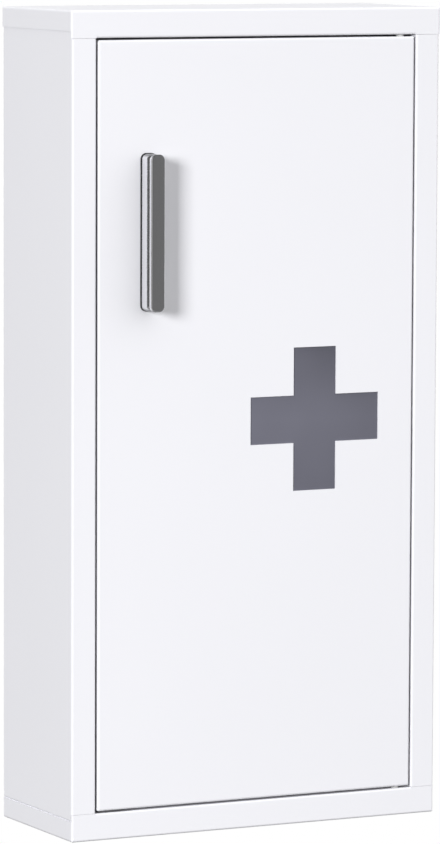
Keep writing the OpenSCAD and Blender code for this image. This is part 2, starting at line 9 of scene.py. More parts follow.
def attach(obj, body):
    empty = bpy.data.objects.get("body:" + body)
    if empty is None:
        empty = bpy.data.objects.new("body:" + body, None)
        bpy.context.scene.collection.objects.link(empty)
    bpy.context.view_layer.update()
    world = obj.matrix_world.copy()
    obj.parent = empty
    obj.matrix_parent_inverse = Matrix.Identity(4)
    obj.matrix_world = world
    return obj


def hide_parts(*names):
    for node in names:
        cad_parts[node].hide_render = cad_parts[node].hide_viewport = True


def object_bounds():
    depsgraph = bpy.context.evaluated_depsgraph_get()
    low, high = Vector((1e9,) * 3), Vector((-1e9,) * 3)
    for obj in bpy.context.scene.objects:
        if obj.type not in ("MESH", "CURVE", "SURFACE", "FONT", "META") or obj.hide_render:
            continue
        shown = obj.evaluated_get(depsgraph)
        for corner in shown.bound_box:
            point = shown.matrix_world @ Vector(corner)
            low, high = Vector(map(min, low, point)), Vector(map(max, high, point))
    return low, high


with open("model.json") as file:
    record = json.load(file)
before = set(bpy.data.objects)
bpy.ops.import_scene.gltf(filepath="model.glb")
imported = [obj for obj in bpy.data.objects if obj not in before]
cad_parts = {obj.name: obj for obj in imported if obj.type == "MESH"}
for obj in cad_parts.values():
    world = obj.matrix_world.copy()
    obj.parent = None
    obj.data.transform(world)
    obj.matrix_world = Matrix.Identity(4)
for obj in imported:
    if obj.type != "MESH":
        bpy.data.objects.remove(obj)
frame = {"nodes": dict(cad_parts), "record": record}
cadLow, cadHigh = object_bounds()
nodes = frame["nodes"]
print("stage: packed cabinet loaded,", len(nodes), "nodes")


def link(tree, fromSocket, toSocket):
    tree.links.new(fromSocket, toSocket)


def feed(tree, term, socket):
    # term is the output of another node, or the value itself
    if isinstance(term, bpy.types.NodeSocket):
        link(tree, term, socket)
    else:
        socket.default_value = term


def addNode(tree, kind, place, **settings):
    node = tree.nodes.new(kind)
    node.location = place
    for key, value in settings.items():
        setattr(node, key, value)
    return node


def setInputs(node, values):
    for key, value in values.items():
        node.inputs[key].default_value = value


def mathNode(tree, operation, place, *terms):
    node = addNode(tree, "ShaderNodeMath", place, operation=operation)
    for term, socket in zip(terms, node.inputs):
        feed(tree, term, socket)
    return node.outputs[0]


def softStep(tree, place, value, start, end):
    # goes smoothly from 0 where the value is start to 1 where it is end
    node = addNode(tree, "ShaderNodeMapRange", place, interpolation_type="SMOOTHSTEP")
    setInputs(node, {"From Min": start, "From Max": end})
    link(tree, value, node.inputs["Value"])
    return node.outputs["Result"]


def mixValue(tree, place, share, first, second):
    node = addNode(tree, "ShaderNodeMix", place, data_type="FLOAT")
    for label, term in (("Factor", share), ("A", first), ("B", second)):
        feed(tree, term, node.inputs[label])
    return node.outputs["Result"]


def useMaterial(nodeName, material):
    for slot in nodes[nodeName].material_slots:
        slot.material = material


cameraSetup = {
    "place": (-1.75984, -3.54424, 0.40125),
    "turnDegrees": (84.0388, -0.2214, -26.773),
    "lens": 226.445,
    "sensor": 36.0,
    "nearest": 0.1,
    "farthest": 100,
}


def makeCamera():
    data = bpy.data.cameras.new("photoCamera")
    data.sensor_width = cameraSetup["sensor"]
    data.lens = cameraSetup["lens"]
    data.dof.use_dof = False
    data.clip_start = cameraSetup["nearest"]
    data.clip_end = cameraSetup["farthest"]
    camera = bpy.data.objects.new("photoCamera", data)
    camera.location = cameraSetup["place"]
    camera.rotation_euler = [math.radians(a) for a in cameraSetup["turnDegrees"]]
    bpy.context.scene.collection.objects.link(camera)
    bpy.context.scene.camera = camera


makeCamera()
print("stage: camera set")


studio = {
    "keyDistance": 8.0,
    "keyLeftDegrees": 55.0,
    "keyUpDegrees": 12.0,
    "keyAimsAt": (0, -0.1, 0),
    "keySize": (2.1, 2.1),
    "keyPower": 606.0,
    "level": 0.212,
    "towardsRight": 1.14,
    "towardsWall": -0.265,
    "towardsTop": 1.40,
    "leastLevel": 0.0,
    # what metal sees: degrees to the left of straight ahead of the door, and how bright it is there
    "roundAbout": [(-180, 1.0), (-140, 1.0), (-106, 0.20), (-45, 0.175), (-11, 0.175), (-3, 0.045),
                   (13, 0.045), (20, 0.56), (67, 0.56), (76, 0.12), (106, 0.12), (132, 0.40),
                   (155, 0.40), (174, 1.0), (180, 1.0)],
    # above and below, with the upward part of the direction where each begins and is complete
    "overhead": 0.17,
    "overheadReach": (0.40, 0.75),
    "underfoot": 0.05,
    "underfootReach": (-0.30, -0.60),
    "floorDrop": 0.75,
    "floorRadius": 2.6,
    "floorSegments": 96,
    "floorColour": 0.15,
    "floorGlow": 0.80,
    "floorInMetal": 0.06,
}


def fillRamp(ramp, stops):
    ramp.elements[0].position, ramp.elements[-1].position = stops[0][0], stops[-1][0]
    for stop in stops[1:-1]:
        ramp.elements.new(stop[0])
    for element, (place, tone) in zip(ramp.elements, stops):
        element.color = (tone, tone, tone, 1)


def makeWorld():
    world = bpy.data.worlds.new("studioWorld")
    bpy.context.scene.world = world
    world.use_nodes = True
    tree = world.node_tree
    tree.nodes.clear()
    output = addNode(tree, "ShaderNodeOutputWorld", (900, 0))
    white = addNode(tree, "ShaderNodeBackground", (500, 120))
    setInputs(white, {"Color": (1, 1, 1, 1), "Strength": 1})
    room = addNode(tree, "ShaderNodeBackground", (500, -80))
    choose = addNode(tree, "ShaderNodeMixShader", (700, 0))
    path = addNode(tree, "ShaderNodeLightPath", (-500, 520))
    direction = addNode(tree, "ShaderNodeTexCoord", (-700, 0))
    split = addNode(tree, "ShaderNodeSeparateXYZ", (-500, 60))
    link(tree, direction.outputs["Generated"], split.inputs[0])

    # surfaces other than metal get more light from the right, the front and above than from the left
    slope = addNode(tree, "ShaderNodeVectorMath", (-500, -120), operation="DOT_PRODUCT")
    slope.inputs[1].default_value = (studio["towardsRight"], studio["towardsWall"], studio["towardsTop"])
    link(tree, direction.outputs["Generated"], slope.inputs[0])
    level = mathNode(tree, "ADD", (-320, -120), slope.outputs["Value"], studio["level"])
    roomLevel = mathNode(tree, "MAXIMUM", (-140, -120), level, studio["leastLevel"])

    # metal sees a dim room in front with one soft box on the left, and the white backdrop behind
    leftwards = mathNode(tree, "MULTIPLY", (-500, 360), split.outputs["X"], -1.0)
    forwards = mathNode(tree, "MULTIPLY", (-500, 200), split.outputs["Y"], -1.0)
    heading = mathNode(tree, "ARCTAN2", (-320, 280), leftwards, forwards)
    turn = mathNode(tree, "MULTIPLY_ADD", (-140, 280), heading, 1 / (2 * math.pi), 0.5)
    around = addNode(tree, "ShaderNodeValToRGB", (40, 360))
    fillRamp(around.color_ramp, [(degrees / 360 + 0.5, tone) for degrees, tone in studio["roundAbout"]])
    link(tree, turn, around.inputs["Fac"])
    inMetal = around.outputs["Color"]
    for side, column in (("overhead", -60), ("underfoot", 120)):
        reached = softStep(tree, (column, 80), split.outputs["Z"], *studio[side + "Reach"])
        inMetal = mixValue(tree, (column + 160, 240), reached, inMetal, studio[side])
    strength = mixValue(tree, (320, -120), path.outputs["Is Glossy Ray"], roomLevel, inMetal)
    link(tree, strength, room.inputs["Strength"])

    seen = mathNode(tree, "MAXIMUM", (320, 520), path.outputs["Is Camera Ray"],
                    path.outputs["Is Transmission Ray"])
    link(tree, seen, choose.inputs["Fac"])
    link(tree, room.outputs[0], choose.inputs[1])
    link(tree, white.outputs[0], choose.inputs[2])
    link(tree, choose.outputs[0], output.inputs["Surface"])


def makeKeyLight():
    left = math.radians(studio["keyLeftDegrees"])
    up = math.radians(studio["keyUpDegrees"])
    towards = Vector((-math.sin(left) * math.cos(up), -math.cos(left) * math.cos(up), math.sin(up)))
    data = bpy.data.lights.new("keyLight", "AREA")
    data.shape = "RECTANGLE"
    data.size, data.size_y = studio["keySize"]
    data.energy = studio["keyPower"]
    lamp = bpy.data.objects.new("keyLight", data)
    lamp.location = towards * studio["keyDistance"] + Vector(studio["keyAimsAt"])
    lamp.rotation_euler = towards.to_track_quat("Z", "Y").to_euler()
    lamp.visible_glossy = False  # metal sees the soft box of the world in its place
    bpy.context.scene.collection.objects.link(lamp)


def makeFloor():
    mesh = bpy.data.meshes.new("studioFloor")
    bm = bmesh.new()
    bmesh.ops.create_circle(bm, cap_ends=True, segments=studio["floorSegments"],
                            radius=studio["floorRadius"])
    bmesh.ops.translate(bm, verts=bm.verts, vec=(0, 0, cadLow.z - studio["floorDrop"]))
    bm.to_mesh(mesh)
    bm.free()
    floor = bpy.data.objects.new("studioFloor", mesh)
    bpy.context.scene.collection.objects.link(floor)
    material = bpy.data.materials.new("studioFloorWhite")
    material.use_nodes = True
    tree = material.node_tree
    tree.nodes.clear()
    output = addNode(tree, "ShaderNodeOutputMaterial", (600, 0))
    paint = addNode(tree, "ShaderNodeBsdfDiffuse", (200, 100))
    tone = studio["floorColour"]
    paint.inputs["Color"].default_value = (tone, tone, tone, 1)
    glow = addNode(tree, "ShaderNodeEmission", (200, -60))
    path = addNode(tree, "ShaderNodeLightPath", (-400, -60))
    seen = mathNode(tree, "MAXIMUM", (-250, -60), path.outputs["Is Camera Ray"],
                    path.outputs["Is Transmission Ray"])
    seenGlow = mathNode(tree, "MULTIPLY", (-90, -60), seen, studio["floorGlow"])
    strength = mathNode(tree, "MULTIPLY_ADD", (60, -60), path.outputs["Is Glossy Ray"],
                        studio["floorInMetal"], seenGlow)
    link(tree, strength, glow.inputs["Strength"])
    both = addNode(tree, "ShaderNodeAddShader", (400, 0))
    link(tree, paint.outputs[0], both.inputs[0])
    link(tree, glow.outputs[0], both.inputs[1])
    link(tree, both.outputs[0], output.inputs["Surface"])
    mesh.materials.append(material)


makeWorld()
makeKeyLight()
makeFloor()
bpy.context.scene.view_settings.view_transform = "Standard"
print("stage: studio lit")


noiseMiddle = 0.5  # the mean of a noise texture, so that taking it away leaves a change both ways


def newGroup(name, inputs, outputs):
    group = bpy.data.node_groups.new(name, "ShaderNodeTree")
    for label, kind, value in inputs:
        socket = group.interface.new_socket(label, in_out="INPUT", socket_type=kind)
        socket.default_value = value
    for label, kind in outputs:
        group.interface.new_socket(label, in_out="OUTPUT", socket_type=kind)
    source = addNode(group, "NodeGroupInput", (-1100, 0))
    result = addNode(group, "NodeGroupOutput", (900, 0))
    return group, source, result


def addNoise(group, place, where, scale, detail, roughness):
    noise = addNode(group, "ShaderNodeTexNoise", place)
    setInputs(noise, {"Detail": detail, "Roughness": roughness})
    feed(group, scale, noise.inputs["Scale"])
    link(group, where, noise.inputs["Vector"])
    return noise.outputs["Fac"]


def scaleColour(group, source, result, factor):
    tone = addNode(group, "ShaderNodeVectorMath", (640, 0), operation="SCALE")
    link(group, source.outputs["Colour"], tone.inputs[0])
    link(group, factor, tone.inputs["Scale"])
    link(group, tone.outputs["Vector"], result.inputs["Colour"])


def varyToneAndGloss(group, source, result, pattern, glossChange):
    around = mathNode(group, "SUBTRACT", (-280, -160), pattern, noiseMiddle)
    change = mathNode(group, "MULTIPLY_ADD", (-100, -160), around, source.outputs["Tone Change"], 1.0)
    scaleColour(group, source, result, change)
    gloss = mathNode(group, "MULTIPLY_ADD", (120, -260), around, glossChange, source.outputs["Roughness"])
    link(group, gloss, result.inputs["Roughness"])


def makeCoatGroup():
    # fine orange peel of baked powder, with a slow change of tone and gloss
    group, source, result = newGroup(
        "powderPeel",
        [("Colour", "NodeSocketColor", (0.9, 0.9, 0.9, 1)), ("Peel Size", "NodeSocketFloat", 0.0022),
         ("Tone Change", "NodeSocketFloat", 0.02), ("Roughness", "NodeSocketFloat", 0.4)],
        [("Colour", "NodeSocketColor"), ("Roughness", "NodeSocketFloat"), ("Height", "NodeSocketFloat")])
    where = addNode(group, "ShaderNodeTexCoord", (-900, 300))
    perMetre = mathNode(group, "DIVIDE", (-700, 120), 1.0, source.outputs["Peel Size"])
    peel = addNoise(group, (-480, 120), where.outputs["Object"], perMetre, detail=2.0, roughness=0.45)
    link(group, peel, result.inputs["Height"])
    slow = addNoise(group, (-480, -160), where.outputs["Object"], 5.0, detail=3.0, roughness=0.5)
    varyToneAndGloss(group, source, result, slow, glossChange=0.12)
    return group


def makeGrainGroup():
    # fine lines drawn along one direction by brushing or polishing
    group, source, result = newGroup(
        "drawnGrain",
        [("Colour", "NodeSocketColor", (0.7, 0.7, 0.7, 1)),
         ("Stretch", "NodeSocketVector", (900.0, 900.0, 12.0)),
         ("Tone Change", "NodeSocketFloat", 0.06), ("Roughness", "NodeSocketFloat", 0.25),
         ("Roughness Change", "NodeSocketFloat", 0.1)],
        [("Colour", "NodeSocketColor"), ("Roughness", "NodeSocketFloat"), ("Height", "NodeSocketFloat")])
    where = addNode(group, "ShaderNodeTexCoord", (-900, 300))
    stretched = addNode(group, "ShaderNodeVectorMath", (-680, 160), operation="MULTIPLY")
    link(group, where.outputs["Object"], stretched.inputs[0])
    link(group, source.outputs["Stretch"], stretched.inputs[1])
    lines = addNoise(group, (-480, 120), stretched.outputs[0], 1.0, detail=3.0, roughness=0.6)
    link(group, lines, result.inputs["Height"])
    varyToneAndGloss(group, source, result, lines, source.outputs["Roughness Change"])
    return group


# metres from the door's outline, behind the door's front, and along X
# where the painted shade of the door gap lies
gapReach = {
    "outlineFull": 0.0012,
    "outlineEnd": 0.0024,
    "depthStart": 0.0004,
    "depthFull": 0.0018,
    "depthFade": 0.0030,
    "depthEnd": 0.0058,
    "leftGapStart": -0.1,
}


def makeGapShadeGroup():
    # painted shade: the walls of the narrow gap round the door are painted greyer, most in the left gap, for
    # the shade deep in the gap
    group, source, result = newGroup(
        "paintedGapShade",
        [("Colour", "NodeSocketColor", (0.9, 0.9, 0.9, 1)), ("Half Width", "NodeSocketFloat", 0.1293),
         ("Half Height", "NodeSocketFloat", 0.2793), ("Front", "NodeSocketFloat", -0.120),
         ("Grey", "NodeSocketFloat", 0.5), ("Left Grey", "NodeSocketFloat", 0.4)],
        [("Colour", "NodeSocketColor")])
    where = addNode(group, "ShaderNodeTexCoord", (-900, 300))
    split = addNode(group, "ShaderNodeSeparateXYZ", (-720, 300))
    link(group, where.outputs["Object"], split.inputs[0])
    beyond = []
    for axis, limit, row in (("X", "Half Width", 300), ("Z", "Half Height", 140)):
        size = mathNode(group, "ABSOLUTE", (-560, row), split.outputs[axis])
        beyond.append(mathNode(group, "SUBTRACT", (-400, row), size, source.outputs[limit]))
    outline = mathNode(group, "MAXIMUM", (-240, 220), *beyond)
    offLine = mathNode(group, "ABSOLUTE", (-80, 220), outline)
    near = softStep(group, (80, 220), offLine, gapReach["outlineEnd"], gapReach["outlineFull"])
    depth = mathNode(group, "SUBTRACT", (-400, -20), split.outputs["Y"], source.outputs["Front"])
    inside = softStep(group, (80, -20), depth, gapReach["depthStart"], gapReach["depthFull"])
    reach = softStep(group, (80, -260), depth, gapReach["depthEnd"], gapReach["depthFade"])
    lip = mathNode(group, "MULTIPLY", (260, -80), inside, reach)
    both = mathNode(group, "MULTIPLY", (260, 120), near, lip)
    leftGap = mathNode(group, "LESS_THAN", (-80, -500), split.outputs["X"], gapReach["leftGapStart"])
    grey = mixValue(group, (100, -500), leftGap, source.outputs["Grey"], source.outputs["Left Grey"])
    shade = mixValue(group, (440, 60), both, 1.0, grey)
    scaleColour(group, source, result, shade)
    return group


endFacing = (0.35, 0.85)  # how squarely a face looks along the bar where the end tone starts and is full


def makeEndGroup():
    # the two ends of the bar, where its faces look along it, are made darker; their gloss is left as it is
    group, source, result = newGroup(
        "darkerBarEnds",
        [("Colour", "NodeSocketColor", (0.8, 0.8, 0.8, 1)), ("End Grey", "NodeSocketFloat", 0.35)],
        [("Colour", "NodeSocketColor")])
    where = addNode(group, "ShaderNodeTexCoord", (-900, 300))
    split = addNode(group, "ShaderNodeSeparateXYZ", (-700, 300))
    link(group, where.outputs["Normal"], split.inputs[0])
    size = mathNode(group, "ABSOLUTE", (-500, 300), split.outputs["Z"])
    end = softStep(group, (-300, 300), size, *endFacing)
    shade = mixValue(group, (0, 160), end, 1.0, source.outputs["End Grey"])
    scaleColour(group, source, result, shade)
    return group


paneMiddleTone = 1.04


def makeCloudAndShadeGroup():
    # painted light and shade: the frosted sheet is painted lighter and darker by place across the window,
    # for the lit and dark inside seen through it, and a slow noise on top makes it randomly cloudy
    group, source, result = newGroup(
        "frostCloudsAndPaintedShade",
        [("Colour", "NodeSocketColor", (0.2, 0.2, 0.2, 1)), ("Middle", "NodeSocketVector", (0.0473, 0, 0)),
         ("Sideways", "NodeSocketFloat", -2.0), ("Upwards", "NodeSocketFloat", -1.65),
         ("Outwards", "NodeSocketFloat", -3.45), ("Cloud Size", "NodeSocketFloat", 0.05),
         ("Cloud Change", "NodeSocketFloat", 0.2)],
        [("Colour", "NodeSocketColor")])
    where = addNode(group, "ShaderNodeTexCoord", (-1100, 300))
    centred = addNode(group, "ShaderNodeVectorMath", (-900, 300), operation="SUBTRACT")
    link(group, where.outputs["Object"], centred.inputs[0])
    link(group, source.outputs["Middle"], centred.inputs[1])
    split = addNode(group, "ShaderNodeSeparateXYZ", (-720, 300))
    link(group, centred.outputs[0], split.inputs[0])
    height = mathNode(group, "ABSOLUTE", (-560, 140), split.outputs["Z"])
    # painted light and shade: the tone rises and falls across the pane by place
    tone = paneMiddleTone
    for term, label, row in ((split.outputs["X"], "Sideways", 400), (split.outputs["Z"], "Upwards", 240),
                             (height, "Outwards", 80)):
        tone = mathNode(group, "MULTIPLY_ADD", (-380, row), term, source.outputs[label], tone)
    perMetre = mathNode(group, "DIVIDE", (-700, -120), 1.0, source.outputs["Cloud Size"])
    cloud = addNoise(group, (-520, -160), where.outputs["Object"], perMetre, detail=1.0, roughness=0.4)
    around = mathNode(group, "SUBTRACT", (-320, -160), cloud, noiseMiddle)
    change = mathNode(group, "MULTIPLY_ADD", (-120, -60), around, source.outputs["Cloud Change"], tone)
    scaleColour(group, source, result, change)
    return group


coatGroup = makeCoatGroup()
grainGroup = makeGrainGroup()
gapShadeGroup = makeGapShadeGroup()
endGroup = makeEndGroup()
cloudAndShadeGroup = makeCloudAndShadeGroup()
print("stage: shared effects built")


def groupMaterial(name, group, values, shader, bumpDistance, tint=None, tintValues=None):
    # group gives colour, roughness and height; tint, if given, changes the colour once more
    material = bpy.data.materials.new(name)
    material.use_nodes = True
    tree = material.node_tree
    tree.nodes.clear()
    output = addNode(tree, "ShaderNodeOutputMaterial", (700, 0))
    surface = addNode(tree, "ShaderNodeBsdfPrincipled", (400, 0))
    setInputs(surface, shader)
    effect = addNode(tree, "ShaderNodeGroup", (-200, 0), node_tree=group)
    setInputs(effect, values)
    colour = effect.outputs["Colour"]
    if tint:
        change = addNode(tree, "ShaderNodeGroup", (60, 120), node_tree=tint)
        setInputs(change, tintValues)
        link(tree, colour, change.inputs["Colour"])
        colour = change.outputs["Colour"]
    bump = addNode(tree, "ShaderNodeBump", (120, -200))
    setInputs(bump, {"Strength": 1.0, "Distance": bumpDistance})
    link(tree, colour, surface.inputs["Base Color"])
    link(tree, effect.outputs["Roughness"], surface.inputs["Roughness"])
    link(tree, effect.outputs["Height"], bump.inputs["Height"])
    link(tree, bump.outputs["Normal"], surface.inputs["Normal"])
    link(tree, surface.outputs[0], output.inputs["Surface"])
    return material


finishes = {
    "powderWhite": (0.885, 0.885, 0.925, 1),
    "polishedHandle": (0.92, 0.92, 0.94, 1),
    "brightZinc": (0.66, 0.68, 0.70, 1),
    "chrome": (0.80, 0.80, 0.81, 1),
    "nylon": (0.60, 0.60, 0.59, 1),
    "catchPlastic": (0.80, 0.80, 0.78, 1),
    "ferrite": (0.055, 0.055, 0.060, 1),
    "rubber": (0.035, 0.035, 0.038, 1),
    # tones of the painted shade on the walls of the gap round the door, stronger in the left gap
    "gapShadeTone": 0.72,
    "gapShadeToneLeft": 0.42,
    "handleEndGrey": 0.30,
}

# the coat is painted greyer in the gap round the door, as painted shade
powderCoat = groupMaterial(
    "powderCoat", coatGroup,
    {"Colour": finishes["powderWhite"], "Peel Size": 0.0024, "Tone Change": 0.02, "Roughness": 0.42},
    {"Metallic": 0.0, "IOR": 1.5}, bumpDistance=0.00003,
    tint=gapShadeGroup, tintValues={"Grey": finishes["gapShadeTone"], "Left Grey": finishes["gapShadeToneLeft"]})
handleMetal = groupMaterial(
    "handleMetal", grainGroup,
    {"Colour": finishes["polishedHandle"], "Stretch": (1400, 1400, 20), "Tone Change": 0.05,
     "Roughness": 0.16, "Roughness Change": 0.10},
    {"Metallic": 1.0}, bumpDistance=0.000001,
    tint=endGroup, tintValues={"End Grey": finishes["handleEndGrey"]})
zincPlate = groupMaterial(
    "zincPlate", grainGroup,
    {"Colour": finishes["brightZinc"], "Stretch": (900, 300, 900), "Tone Change": 0.12,
     "Roughness": 0.30, "Roughness Change": 0.18},
    {"Metallic": 1.0}, bumpDistance=0.000004)
lockChrome = groupMaterial(
    "lockChrome", grainGroup,
    {"Colour": finishes["chrome"], "Stretch": (400, 400, 400), "Tone Change": 0.04,
     "Roughness": 0.10, "Roughness Change": 0.08},
    {"Metallic": 1.0}, bumpDistance=0.000001)
whiteNylon = groupMaterial(
    "whiteNylon", coatGroup,
    {"Colour": finishes["nylon"], "Peel Size": 0.0006, "Tone Change": 0.05, "Roughness": 0.45},
    {"Metallic": 0.0, "IOR": 1.53}, bumpDistance=0.00001)
catchPlastic = groupMaterial(
    "catchPlastic", coatGroup,
    {"Colour": finishes["catchPlastic"], "Peel Size": 0.0005, "Tone Change": 0.04, "Roughness": 0.35},
    {"Metallic": 0.0, "IOR": 1.53}, bumpDistance=0.00001)
ferriteGrey = groupMaterial(
    "ferriteGrey", coatGroup,
    {"Colour": finishes["ferrite"], "Peel Size": 0.0004, "Tone Change": 0.35, "Roughness": 0.62},
    {"Metallic": 0.0, "IOR": 1.6}, bumpDistance=0.00004)
stopRubber = groupMaterial(
    "stopRubber", coatGroup,
    {"Colour": finishes["rubber"], "Peel Size": 0.0005, "Tone Change": 0.25, "Roughness": 0.70},
    {"Metallic": 0.0, "IOR": 1.45}, bumpDistance=0.00003)

frost = {
    "colour": (0.196, 0.196, 0.246, 1),
    "transmission": 0.25,
    "roughness": 0.42,
    "grain": 0.0009,
    "grainChange": 0.12,
    "cloudSize": 0.05,
    "cloudChange": 0.30,
}
# the pane's colour carries painted light and shade for the inside seen through the frost
frostedPane = groupMaterial(
    "frostedPane", coatGroup,
    {"Colour": frost["colour"], "Peel Size": frost["grain"], "Tone Change": frost["grainChange"],
     "Roughness": frost["roughness"]},
    {"Metallic": 0.0, "IOR": 1.49, "Transmission Weight": frost["transmission"]}, bumpDistance=0.00002,
    tint=cloudAndShadeGroup, tintValues={"Cloud Size": frost["cloudSize"], "Cloud Change": frost["cloudChange"]})

finishOfSlot = {
    "powder_coat": powderCoat,
    "handle_metal": handleMetal,
    "frosted_pane": frostedPane,
    "white_nylon": whiteNylon,
    "catch_plastic": catchPlastic,
    "zinc_plate": zincPlate,
    "lock_chrome": lockChrome,
    "ferrite": ferriteGrey,
    "stop_rubber": stopRubber,
}
slotOfNode = {part["node"]: part["material_slot"] for part in frame["record"]["subparts"]}
for nodeName, slotName in slotOfNode.items():
    useMaterial(nodeName, finishOfSlot[slotName])
print("stage: finishes on", len(slotOfNode), "nodes")


mergeDistance = 0.000002
nearly = 0.00001


def finishPiece(name, bm, standsFor, body, smoothDegrees=35):
    # the mesh becomes a piece that rides on its body in place of the plain CAD node
    bmesh.ops.remove_doubles(bm, verts=bm.verts, dist=mergeDistance)
    bmesh.ops.recalc_face_normals(bm, faces=bm.faces)
    mesh = bpy.data.meshes.new(name)
    bm.to_mesh(mesh)
    bm.free()
    for face in mesh.polygons:
        face.use_smooth = True
    mesh.set_sharp_from_angle(angle=math.radians(smoothDegrees))
    slotName = slotOfNode[standsFor]
    mesh.materials.append(finishOfSlot[slotName])
    piece = bpy.data.objects.new(name, mesh)
    bpy.context.scene.collection.objects.link(piece)
    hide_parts(standsFor)
    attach(piece, body)
    print("stage:", name, "made,", len(mesh.polygons), "faces")


def vertsOf(parts):
    return [part for part in parts if isinstance(part, bmesh.types.BMVert)]


def putAt(bm, places, towards):
    # copies the finished shape, which points along +Z, to each place and turns it to face its way
    shape = list(bm.verts) + list(bm.edges) + list(bm.faces)
    turn = Vector(towards).to_track_quat("Z", "Y").to_matrix().to_4x4()
    for place in places:
        copied = bmesh.ops.duplicate(bm, geom=shape)["geom"]
        bmesh.ops.transform(bm, matrix=Matrix.Translation(place) @ turn, verts=vertsOf(copied))
    bmesh.ops.delete(bm, geom=vertsOf(shape), context="VERTS")


def spinOutline(bm, outline, steps=32):
    # outline is (radius, height) from the tip to the top
    corners = [bm.verts.new((radius, 0, height)) for radius, height in outline]
    lines = [bm.edges.new(pair) for pair in zip(corners, corners[1:])]
    bmesh.ops.spin(bm, geom=corners + lines, cent=(0, 0, 0), axis=(0, 0, 1), dvec=(0, 0, 0),
                   angle=2 * math.pi, steps=steps, use_merge=True)
    bmesh.ops.remove_doubles(bm, verts=bm.verts, dist=mergeDistance)


threadDepth = 0.12  # share of the thread's radius


def threadOutline(radius, pitch, low, high):
    core = radius - threadDepth * radius
    turns = max(1, int((high - low) / pitch))
    step = (high - low) / turns
    outline = []
    for turn in range(turns):
        outline.append((core, low + turn * step))
        outline.append((radius, low + (turn + 0.5) * step))
    outline.append((core, high))
    return outline


screwHead = {
    "flat": 0.62,  # of the head's radius, as are the cross's reach and width
    "crossReach": 0.52,
    "crossWidth": 0.2,
    "crossTaper": 0.62,  # the cross at its floor, as a share of its mouth
    "crossDepth": 0.6,  # of the head's height, as is the straight wall
    "wall": 0.45,
    "domeSteps": 5,
    "edge": 0.00008,  # metres
}
screwShank = {
    "tip": 0.7,  # of the shank's radius, as is the point
    "point": 0.3,
    "plain": 0.0002,  # metres under the head
}


def addCrossRecess(bm, height, reach, width, depth):
    # the flat of the head is filled round a cross, whose walls then taper down into the head
    rim = [edge for edge in bm.edges if edge.is_boundary and edge.verts[0].co.z > height - nearly]
    half = width / 2
    quarter = [(reach, -half), (reach, half), (half, half)]
    corners = []
    for turn in range(4):
        spinBy = Matrix.Rotation(turn * math.pi / 2, 3, "Z")
        corners += [bm.verts.new(spinBy @ Vector((x, y, height))) for x, y in quarter]
    cross = [bm.edges.new(pair) for pair in zip(corners, corners[1:] + corners[:1])]
    bmesh.ops.triangle_fill(bm, use_beauty=True, edges=rim + cross, normal=(0, 0, 1))
    inner = [face for face in bm.faces if all(vert in corners for vert in face.verts)]
    bmesh.ops.delete(bm, geom=inner, context="FACES_ONLY")
    walls = bmesh.ops.extrude_edge_only(bm, edges=cross)["geom"]
    deep = vertsOf(walls)
    bmesh.ops.scale(bm, vec=(screwHead["crossTaper"], screwHead["crossTaper"], 1), verts=deep)
    bmesh.ops.translate(bm, vec=(0, 0, -depth), verts=deep)
    floorLoop = [edge for edge in bm.edges if edge.verts[0] in deep and edge.verts[1] in deep]
    bmesh.ops.contextual_create(bm, geom=floorLoop)


def makeScrews(name, sizes, standsFor, body):
    bm = bmesh.new()
    radius, headRadius, headHeight = sizes["shank"] / 2, sizes["head"] / 2, sizes["headHeight"]
    flatRadius, wall, edge = screwHead["flat"] * headRadius, screwHead["wall"], screwHead["edge"]
    tipHeight = -sizes["length"]
    outline = [(0, tipHeight), (radius * screwShank["tip"], tipHeight)]
    outline += threadOutline(radius, sizes["pitch"], tipHeight + screwShank["point"] * radius,
                             -screwShank["plain"])
    outline += [(headRadius - edge, 0), (headRadius, edge), (headRadius, wall * headHeight)]
    for step in range(1, screwHead["domeSteps"] + 1):
        angle = step * math.pi / (2 * screwHead["domeSteps"])
        outline.append((flatRadius + (headRadius - flatRadius) * math.cos(angle),
                        headHeight * (wall + (1 - wall) * math.sin(angle))))
    spinOutline(bm, outline)
    addCrossRecess(bm, headHeight, screwHead["crossReach"] * headRadius,
                   screwHead["crossWidth"] * headRadius, screwHead["crossDepth"] * headHeight)
    putAt(bm, sizes["places"], sizes["towards"])
    finishPiece(name, bm, standsFor, body)


# shares of the width across the flats: the corners, unlike the bore, lie beyond brimBeyond
nutShape = {"boreSegments": 36, "brimBeyond": 0.55, "chamfer": 0.07}


def makeNuts(name, sizes, standsFor, body):
    bm = bmesh.new()
    boreRadius = sizes["bore"] / 2
    bmesh.ops.create_circle(bm, segments=6, radius=sizes["across"] / math.sqrt(3))
    bmesh.ops.create_circle(bm, segments=nutShape["boreSegments"], radius=boreRadius)
    bmesh.ops.triangle_fill(bm, use_beauty=True, edges=list(bm.edges), normal=(0, 0, -1))
    hole = [face for face in bm.faces if all(vert.co.xy.length < boreRadius + nearly for vert in face.verts)]
    bmesh.ops.delete(bm, geom=hole, context="FACES")
    raised = bmesh.ops.extrude_face_region(bm, geom=list(bm.faces))["geom"]
    bmesh.ops.translate(bm, vec=(0, 0, sizes["height"]), verts=vertsOf(raised))
    brims = [edge for edge in bm.edges if abs(edge.verts[0].co.z - edge.verts[1].co.z) < nearly
             and min(vert.co.xy.length for vert in edge.verts) > sizes["across"] * nutShape["brimBeyond"]]
    bmesh.ops.bevel(bm, geom=brims, offset=nutShape["chamfer"] * sizes["across"], offset_type="OFFSET",
                    segments=3, profile=0.5, affect="EDGES", material=-1, clamp_overlap=True)
    putAt(bm, sizes["places"], sizes["towards"])
    finishPiece(name, bm, standsFor, body, smoothDegrees=25)


studShape = {
    "plain": 0.0010,  # metres from the foot, as is the thread's start
    "threadFrom": 0.0011,
    "point": 0.25,  # of the radius, as is the tip
    "tip": 0.75,
    "segments": 24,
}


